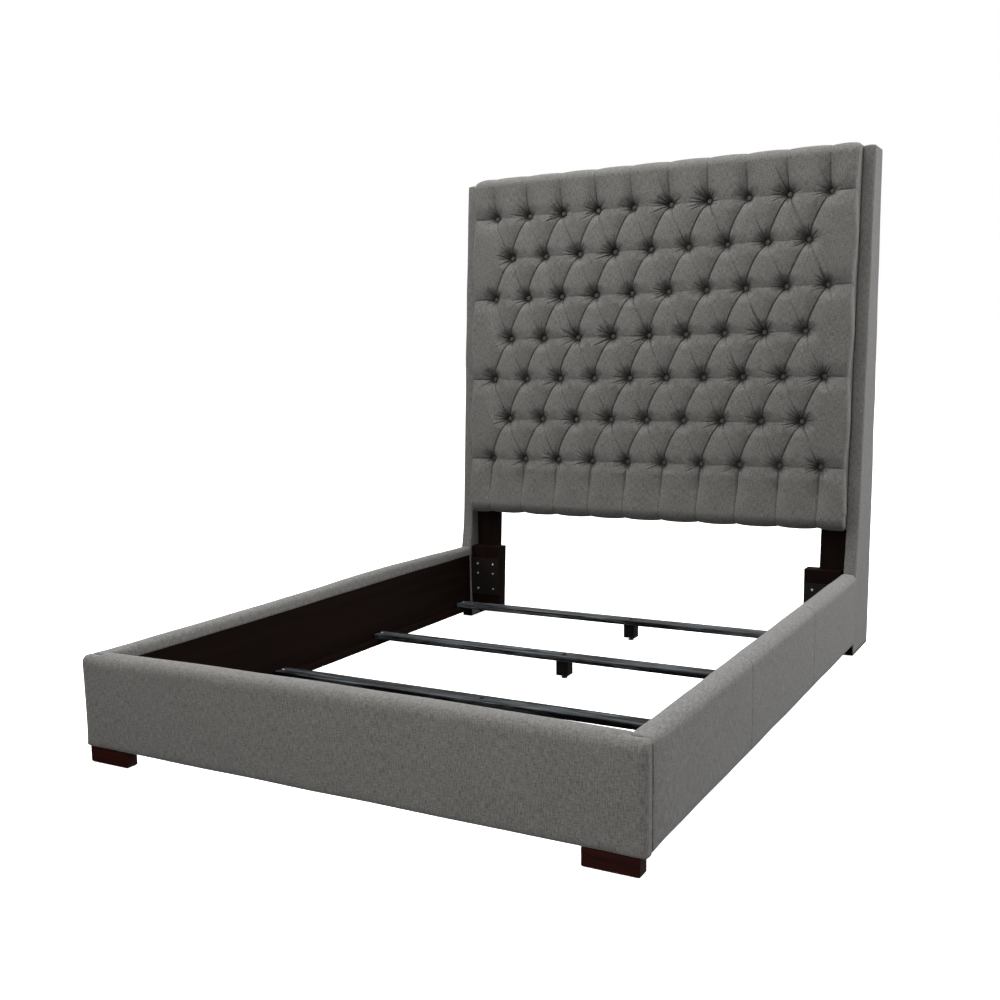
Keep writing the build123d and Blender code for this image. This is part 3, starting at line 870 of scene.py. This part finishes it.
def round_corner(corner, before, after, radius, steps=5):
    """The points of an arc that rounds a corner of an outline."""
    corner, before, after = (np.array(p, float) for p in (corner, before, after))
    to_before = (before - corner) / np.linalg.norm(before - corner)
    to_after = (after - corner) / np.linalg.norm(after - corner)
    half = np.arccos(np.clip(to_before @ to_after, -1, 1)) / 2
    centre = corner + (to_before + to_after) / np.linalg.norm(to_before + to_after) * radius / sin(half)
    first = corner + to_before * radius / tan(half) - centre
    last = corner + to_after * radius / tan(half) - centre
    start, turn = atan2(first[1], first[0]), atan2(last[1], last[0])
    sweep = (turn - start + pi) % (2 * pi) - pi
    angles = start + np.linspace(0, 1, steps + 1) * sweep
    return [tuple(centre + radius * np.array((cos(a), sin(a)))) for a in angles]


def rounded_outline(corners, radii):
    """An outline with each corner rounded to its own radius, or left sharp where that is 0."""
    outline = []
    for i, (corner, radius) in enumerate(zip(corners, radii)):
        if radius == 0:
            outline.append(corner)
        else:
            outline += round_corner(corner, corners[i - 1], corners[(i + 1) % len(corners)], radius)
    return outline


def merge_solids(name, solids, voxel, smooth):
    """One closed mesh round several overlapping solids."""
    mesh = bpy.data.meshes.new(name)
    joined = bmesh.new()
    for solid in solids:
        part = bpy.data.meshes.new(name + "_part")
        solid.to_mesh(part)
        solid.free()
        joined.from_mesh(part)
        bpy.data.meshes.remove(part)
    joined.to_mesh(mesh)
    joined.free()
    obj = link(name, mesh)
    remesh = obj.modifiers.new("remesh", "REMESH")
    remesh.mode = "VOXEL"
    remesh.voxel_size = voxel
    relax = obj.modifiers.new("relax", "SMOOTH")
    relax.factor = 0.5
    relax.iterations = smooth
    apply_modifiers(obj)
    obj.data.polygons.foreach_set("use_smooth", np.ones(len(obj.data.polygons), bool))
    return obj


def apply_modifiers(obj):
    """Replaces an object's mesh by what its modifiers make of it."""
    graph = bpy.context.evaluated_depsgraph_get()
    made = bpy.data.meshes.new_from_object(obj.evaluated_get(graph), depsgraph=graph)
    old = obj.data
    obj.modifiers.clear()
    obj.data = made
    bpy.data.meshes.remove(old)


def stretch_to(obj, low, high):
    """Stretches a remeshed cover back to the size it was drawn at: smoothing shrinks it a little."""
    points = vertex_array(obj.data)
    own_low, own_high = points.min(0), points.max(0)
    share = (points - own_low) / (own_high - own_low)
    points = np.array(low) + share * (np.array(high) - np.array(low))
    set_vertices(obj.data, points)


def wobble(points, size, pitch, seed):
    """A smooth, seeded unevenness, a few waves long, for stretched padding."""
    luck = np.random.default_rng(seed)
    total = np.zeros(len(points))
    for _ in range(7):
        way = luck.normal(size=3)
        way *= 2 * pi / (pitch * luck.uniform(0.6, 1.8)) / np.linalg.norm(way)
        total += np.sin(points @ way + luck.uniform(0, 2 * pi))
    return total * size / 7**0.5


def move_along_normals(obj, amount):
    mesh = obj.data
    set_vertices(mesh, vertex_array(mesh) + vertex_normals(mesh) * amount[:, None])


def inflate(obj, pressure, cap, free):
    """Lets the padding swell as cloth under pressure, no further than the cap, where it is free to move."""
    start = vertex_array(obj.data)
    cloth = obj.modifiers.new("cloth", "CLOTH")
    cloth.settings.quality = 4
    cloth.settings.mass = 0.3
    cloth.settings.tension_stiffness = 12
    cloth.settings.compression_stiffness = 12
    cloth.settings.bending_stiffness = 0.6
    cloth.settings.use_pressure = True
    cloth.settings.uniform_pressure_force = pressure
    cloth.settings.effector_weights.gravity = 0.0
    cloth.collision_settings.use_collision = False
    cloth.collision_settings.use_self_collision = False
    cloth.point_cache.frame_start, cloth.point_cache.frame_end = 1, 20
    for number in range(1, 21):
        bpy.context.scene.frame_set(number)
    graph = bpy.context.evaluated_depsgraph_get()
    swollen = obj.evaluated_get(graph).to_mesh()
    moved = vertex_array(swollen) - start
    obj.evaluated_get(graph).to_mesh_clear()
    obj.modifiers.remove(cloth)
    bpy.context.scene.frame_set(1)
    size = np.linalg.norm(moved, axis=1)
    moved *= (cap * np.tanh(size / cap) / np.maximum(size, 1e-9) * free)[:, None]
    set_vertices(obj.data, start + moved)


def mirrored(obj, name):
    """A mirror image of a right-hand piece."""
    mesh = obj.data.copy()
    mesh.name = name
    mesh.transform(Matrix.Scale(-1, 4, (1, 0, 0)))
    mesh.flip_normals()
    return link(name, mesh)


def seam_groove(points, normals, place):
    """A narrow sewn line over a rail's outer side and top: its depth at each point."""
    depth, width, facing = 0.0024, 0.0034, np.array((1, 0, 0.4))
    return depth * np.exp(-(((points[:, 1] - place) / width) ** 2)) * unit(normals @ facing)


def rail_solids():
    """The right rail's cover as drawn: outer side, top with its inner lip, hem and end strip."""
    (x0, x1), (y0, y1), (z0, z1) = rail_x, rail_y, rail_z
    foam, inset, top_radius = 0.014, 0.004, 0.016
    outer = rounded_outline(rectangle(x1 - foam, x1, z0, z1), [0, 0.003, top_radius, 0])
    lip = [(x0, z1 - rail_lip), (x1 - inset, z1 - rail_lip), (x1, z1), (x0, z1)]
    top = rounded_outline(lip, [0, 0, top_radius, 0.009])
    hem = rectangle(x0 + 0.003, x1 - inset, z0, z0 + COVER_HEM)
    end_strip = rectangle(x0, x0 + 0.012, z0, z1 - 0.01)
    solids = [rounded_prism(shape, y0, y1, 1, 0.003) for shape in (outer, top, hem)]
    return solids + [rounded_prism(end_strip, y1 - 0.016, y1, 1, 0.0015)]


def rail_fullness(points, normals):
    """How far a rail's padding stands out: crowned outside and on top, drawn in at the sewn lines."""
    across, along, up = (share_of(points[:, i], ends) for i, ends in enumerate((rail_x, rail_y, rail_z)))
    outward, upward = unit(normals[:, 0]), unit(normals[:, 2])
    fullness = 0.0022 * np.sin(pi * up) * np.sin(pi * along) ** 0.3 * outward
    fullness += 0.0016 * upward * np.sin(pi * across)
    for place in rail_seams:
        fullness -= seam_groove(points, normals, place)
    return fullness


def build_side_rails():
    """Padded rail covers: foam on the outside and top, fabric turned over the inner edge."""
    overhang, joint_length = 0.004, 0.10
    right = merge_solids("side_rail_padding_right", rail_solids(), COVER_VOXEL, COVER_SMOOTHING)
    low = (rail_x[0], rail_y[0], rail_z[0] - COVER_HANG)
    stretch_to(right, low, (rail_x[1] + overhang, rail_y[1], rail_z[1]))
    normals = vertex_normals(right.data)
    free = unit(unit(normals[:, 0]) + unit(normals[:, 2]))
    free *= ease((vertex_array(right.data)[:, 1] - rail_y[0]) / joint_length)
    inflate(right, 3.0, 0.003, free)
    points = vertex_array(right.data)
    fullness = rail_fullness(points, vertex_normals(right.data))
    move_along_normals(right, fullness + wobble(points, 0.0007, 0.35, 11))
    project_fabric(right.data, stretch=0.72)
    left = mirrored(right, "side_rail_padding_left")
    raise_top(right, 0.0015)
    raise_top(left, 0.0100)
    for obj, side in ((right, "right"), (left, "left")):
        dress(obj, linen)
        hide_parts("side_rail_cover_" + side)


def raise_top(obj, height):
    """Fills out the top of a rail round the middle of its length, and lowers its ends a little."""
    middle, width, end_drop, depth = 0.27, 0.42, 0.0012, 0.05
    points = vertex_array(obj.data)
    share = ease((points[:, 2] - rail_z[1] + depth) / depth)
    bulge = height * np.exp(-(((points[:, 1] - middle) / width) ** 2))
    points[:, 2] += (bulge - end_drop) * share
    set_vertices(obj.data, points)


def sweep_tube(name, path, wide, thick, around=8):
    """A closed cord of fabric with an oval section, along a path that runs up and back."""
    path = np.array(path, float)
    forward = np.gradient(path, axis=0)
    forward /= np.linalg.norm(forward, axis=1)[:, None]
    sideways = np.array((1.0, 0, 0)) - forward * forward[:, :1]
    sideways /= np.linalg.norm(sideways, axis=1)[:, None]
    normal = np.cross(forward, sideways)
    angles = np.arange(around) * 2 * pi / around
    size = np.ones(len(path))
    size[0] = size[-1] = 0.35
    rings = (
        path[:, None]
        + np.cos(angles)[None, :, None] * sideways[:, None] * (thick * size)[:, None, None]
        + np.sin(angles)[None, :, None] * normal[:, None] * (wide * size)[:, None, None]
    )
    bm = bmesh.new()
    verts = [[bm.verts.new(point) for point in ring] for ring in rings]
    for low, high in zip(verts, verts[1:]):
        for k in range(around):
            following = (k + 1) % around
            bm.faces.new((low[k], low[following], high[following], high[k]))
    bm.faces.new(list(reversed(verts[0])))
    bm.faces.new(verts[-1])
    bmesh.ops.recalc_face_normals(bm, faces=bm.faces)
    for face in bm.faces:
        face.smooth = True
    mesh = bpy.data.meshes.new(name)
    bm.to_mesh(mesh)
    bm.free()
    return link(name, mesh)


def build_end_folds():
    """Where the footboard's cloth is folded under at each end: a thin raised lip beside the side rail."""
    lip_x, lip_y = rail_x[1] + 0.0068, rail_y[0] - 0.0012
    low, bend = rail_z[0] + 0.008, rail_z[1] - 0.020
    for side, sign in (("right", 1), ("left", -1)):
        luck = np.random.default_rng(41 + sign)
        path = []
        for z in np.linspace(low, bend, 30):
            sway = 0.0012 * sin(z * 31 + sign) + 0.0004 * luck.uniform(-1, 1)
            path.append((sign * lip_x, lip_y + sway, z))
        for angle in np.linspace(0, 1.3, 8)[1:]:
            x = lip_x - 0.022 * (1 - cos(angle))
            path.append((sign * x, lip_y - 0.008 * sin(angle) ** 2, bend + 0.0185 * sin(angle)))
        fold = sweep_tube("footboard_end_fold_" + side, path, 0.0030, 0.0024)
        project_fabric(fold.data, 0.05)
        dress(fold, linen)


def footboard_solids():
    """The footboard's cover as drawn: a front slab as wide as the bed, a narrower ledge and a hem."""
    (x0, x1), (y0, y1), (z0, z1) = rail_x, foot_y, rail_z
    ledge_end, ledge_start = x0 + 0.004, rail_y[0] - 0.01
    slab = rounded_outline(rectangle(y0, rail_y[0], z0, z1), [0.003, 0.002, 0.003, 0.020])
    ledge = rounded_outline(rectangle(ledge_start, y1, z1 - rail_lip, z1), [0, 0.002, 0.006, 0])
    hem = rectangle(ledge_start, y1 - 0.003, z0, z0 + COVER_HEM)
    inner = [rounded_prism(shape, -ledge_end, ledge_end, 0, 0.001) for shape in (ledge, hem)]
    return [rounded_prism(slab, -x1, x1, 0, 0.006)] + inner


def build_footboard():
    """The padded footboard, swollen in front and on top, and highest in the middle."""
    end, (y0, y1), (z0, z1) = rail_x[1], foot_y, rail_z
    overhang, middle_rise, rise_depth = 0.0065, 0.0090, 0.05
    obj = merge_solids("footboard_padding", footboard_solids(), COVER_VOXEL, COVER_SMOOTHING)
    stretch_to(obj, (-end - overhang, y0 - 0.001, z0 - COVER_HANG), (end + overhang, y1, z1))
    normals = vertex_normals(obj.data)
    inflate(obj, 4.0, 0.0035, unit(unit(-normals[:, 1] * 1.5) + unit(normals[:, 2] * 1.5)))
    points = vertex_array(obj.data)
    across = unit(1 - np.abs(points[:, 0]) / end)
    frontward = unit(-vertex_normals(obj.data)[:, 1])
    swell = 0.003 * np.sin(pi * share_of(points[:, 2], rail_z)) * unit(across * 8) ** 0.5 * frontward
    move_along_normals(obj, swell + wobble(points, 0.0008, 0.4, 5))
    points = vertex_array(obj.data)
    top_share = ease((points[:, 2] - z1 + rise_depth) / rise_depth)
    points[:, 2] += middle_rise * np.sin(pi * across / 2) ** 0.7 * top_share
    set_vertices(obj.data, points)
    project_fabric(obj.data, 0.31)
    dress(obj, linen)
    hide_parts("footboard_cover")


def wing_outline():
    """Side view of a wing as (y, z): upright, a flare over the rail, a straight taper."""
    front_low, back = wing_y
    bottom, top = wing_z[0], wing_z[1] - 0.005
    rail_top = rail_z[1]
    flare_top, at_flare, at_top = 0.484, front_low + 0.028, front_low + 0.132
    handle = 0.09
    taper = (at_top - at_flare) / (top - flare_top)
    flare = []
    for t in np.linspace(0, 1, 9):
        y = (1 - t) ** 2 * front_low + 2 * t * (1 - t) * (at_flare - taper * handle) + t * t * at_flare
        z = (1 - t) ** 2 * rail_top + 2 * t * (1 - t) * (flare_top - handle) + t * t * flare_top
        flare.append((y, z))
    return [(front_low, bottom)] + flare + [(at_top, top), (back, top), (back, bottom)]


def build_wings():
    """The two wings, crisp at their edges, with a little crown on the front, the top and the outer side."""
    top_drop, edge_width = 0.006, 0.0225
    solid = rounded_prism(wing_outline(), *wing_x, 0, 0.0045, 3)
    right = merge_solids("wing_padding_right", [solid], 0.0035, 2)
    stretch_to(right, (wing_x[0], wing_y[0], wing_z[0]), (wing_x[1], wing_y[1], wing_z[1] - top_drop))
    points = vertex_array(right.data)
    normals = vertex_normals(right.data)
    middle = unit(1 - np.abs(points[:, 0] - sum(wing_x) / 2) / edge_width)
    crown = 0.0022 * np.sin(middle * pi / 2) * unit(-normals[:, 1] + normals[:, 2])
    crown += 0.0015 * unit(normals[:, 0]) * np.sin(pi * unit(points[:, 2] / wing_z[1]))
    move_along_normals(right, crown + wobble(points, 0.0006, 0.3, 21))
    project_fabric(right.data, 0.13)
    left = mirrored(right, "wing_padding_left")
    fill_out_left_wing(left)
    for obj, side in ((right, "right"), (left, "left")):
        dress(obj, linen)
        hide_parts("wing_cover_" + side)


def fill_out_left_wing(obj):
    """The left wing's padding stands out a little further towards the top, which lies a little lower."""
    points = vertex_array(obj.data)
    points[:, 0] -= 0.006 * share_of(-points[:, 0], wing_x) * ease((points[:, 2] - 0.45) / 1.2)
    points[:, 2] -= 0.005 * ease((points[:, 2] - 1.75) / 0.1)
    set_vertices(obj.data, points)


def build_wing_toes():
    """A thin black block at the bottom of each wing's front edge, under the side rail, where the front
    shows dark.
    """
    low, high, front = 0.0015, 0.0435, wing_y[0]
    for side, sign in (("right", 1), ("left", -1)):
        x0, x1 = sorted((sign * wing_x[0], sign * (wing_x[1] - 0.003)))
        solid = rounded_prism(rectangle(x0, x1, front - 0.0025, front + 0.004), low, high, 2, 0.0008, 2)
        mesh = bpy.data.meshes.new("wing_toe_" + side)
        solid.to_mesh(mesh)
        solid.free()
        dress(link("wing_toe_" + side, mesh), black_wood_z)


def build_back_cover():
    """The flat cloth that closes the headboard's back, with a raised welt round its edge."""
    (x0, x1), (y0, y1), (z0, z1) = back_x, back_y, back_z
    into_wing = 0.003
    x0, x1 = min(x0, -wing_x[0]) - into_wing, max(x1, wing_x[0]) + into_wing
    sheet = rounded_prism(rectangle(x0, x1, z0, z1), y0 - 0.002, y1 - 0.001, 1, 0.0012, 3)
    obj = merge_solids("headboard_back_cloth", [sheet], 0.006, 3)
    points = vertex_array(obj.data)
    edge = np.minimum.reduce([points[:, 0] - x0, x1 - points[:, 0], points[:, 2] - z0, z1 - points[:, 2]])
    welt = 0.0022 * np.exp(-(((edge - 0.012) / 0.006) ** 2))
    groove = 0.0012 * np.exp(-(((edge - 0.024) / 0.004) ** 2))
    move_along_normals(obj, (welt - groove) * 0.8 + wobble(points, 0.0006, 0.5, 31))
    project_fabric(obj.data, 0.53)
    dress(obj, linen)
    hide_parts("headboard_back_cover")


# ---- stage, light and camera
def build_stage():
    """A wide white floor, slightly self-lit, that casts no tint on the bed."""
    floor = bpy.data.meshes.new("floor")
    bm = bmesh.new()
    bmesh.ops.create_grid(bm, x_segments=1, y_segments=1, size=300)
    bm.to_mesh(floor)
    bm.free()
    obj = link("floor", floor)
    obj.location.z = -0.0005
    material, tree, shader = new_material("studio_floor")
    place = add(tree, "ShaderNodeTexCoord").outputs["Object"]
    cloud = noise(tree, place, (3, 3, 3), 2.0)
    tree.links.new(ramp(tree, cloud, [(0.3, (0.94,) * 3), (0.7, (0.96,) * 3)]), shader.inputs["Base Color"])
    set_values(shader, {"Roughness": 0.9, "Specular IOR Level": 0.1})
    set_values(shader, {"Emission Color": (1.0, 1.0, 1.0, 1.0), "Emission Strength": 0.85})
    floor.materials.append(material)
    obj.visible_diffuse = False
    obj.visible_glossy = False


def area_light(name, place, aim, size, watts, colour=(1.0, 1.0, 1.0)):
    """A rectangular light at a place, turned to its aim."""
    light = bpy.data.lights.new(name, "AREA")
    light.shape = "RECTANGLE"
    light.size, light.size_y = size
    light.energy = watts
    light.color = colour
    obj = bpy.data.objects.new(name, light)
    obj.location = place
    obj.rotation_euler = (Vector(aim) - Vector(place)).to_track_quat("-Z", "Y").to_euler()
    bpy.context.scene.collection.objects.link(obj)


def build_world():
    """A studio tent: white behind the bed and overhead, dimmer in front and below."""
    world = bpy.data.worlds.new("studio")
    bpy.context.scene.world = world
    world.use_nodes = True
    tree = world.node_tree
    split = add(tree, "ShaderNodeSeparateXYZ")
    tree.links.new(add(tree, "ShaderNodeTexCoord").outputs["Generated"], split.inputs[0])
    behind = remap(tree, split.outputs["Y"], -0.12, 0.12, 0.15, 1.0)
    above = remap(tree, split.outputs["Z"], 0.15, 0.9, 0.0, 0.75)
    below = remap(tree, split.outputs["Z"], -0.03, -0.01, 0.22, 1.0)
    level = math(tree, "MULTIPLY", math(tree, "ADD", behind, above, clamp=True), below)
    seen = add(tree, "ShaderNodeLightPath").outputs["Is Camera Ray"]
    tree.links.new(math(tree, "MAXIMUM", level, seen), tree.nodes["Background"].inputs["Strength"])
    tree.nodes["Background"].inputs["Color"].default_value = (1.0, 1.0, 1.0, 1.0)


def build_lights():
    build_world()
    area_light("overhead", (-0.2, 0.1, 4.0), (0.0, 0.3, 0.3), (3.0, 2.6), 142)
    area_light("front_left", (-3.5, -2.5, 3.6), (0.1, 0.8, 1.1), (1.9, 1.9), 90)
    area_light("foot_fill", (0.9, -4.2, 1.0), (0.1, -1.1, 0.15), (1.6, 0.9), 74)
    area_light("right_cool", (4.0, 1.7, 2.1), (0.8, 0.7, 0.9), (2.2, 2.0), 158, (0.97, 0.985, 1.0))


def build_camera():
    """The photograph's viewpoint: right of the foot end, just above mattress height."""
    yaw, pitch, roll = radians(28.96), radians(8.58), radians(-0.952)
    ahead = Vector((-sin(yaw) * cos(pitch), cos(yaw) * cos(pitch), -sin(pitch)))
    right = Vector((cos(yaw), sin(yaw), 0.0))
    up = right.cross(ahead)
    rolled_right = right * cos(roll) + up * sin(roll)
    rolled_up = up * cos(roll) - right * sin(roll)
    data = bpy.data.cameras.new("camera")
    data.sensor_width = 36.0
    data.lens = 41.245
    data.shift_x, data.shift_y = 0.0021, 0.03545
    camera = bpy.data.objects.new("camera", data)
    axes = Matrix((rolled_right, rolled_up, -ahead)).transposed().to_4x4()
    camera.matrix_world = Matrix.Translation((1.6905, -3.3247, 1.0956)) @ axes
    bpy.context.scene.collection.objects.link(camera)
    bpy.context.scene.camera = camera


def set_view():
    scene = bpy.context.scene
    scene.view_settings.view_transform = "Standard"
    scene.view_settings.look = "None"
    scene.view_settings.exposure = 0.0
    scene.cycles.max_bounces = 6


paint_cad_nodes()
build_tufted_panel()
build_buttons()
build_side_rails()
build_footboard()
build_end_folds()
build_wings()
build_wing_toes()
build_back_cover()
build_stage()
build_lights()
build_camera()
set_view()
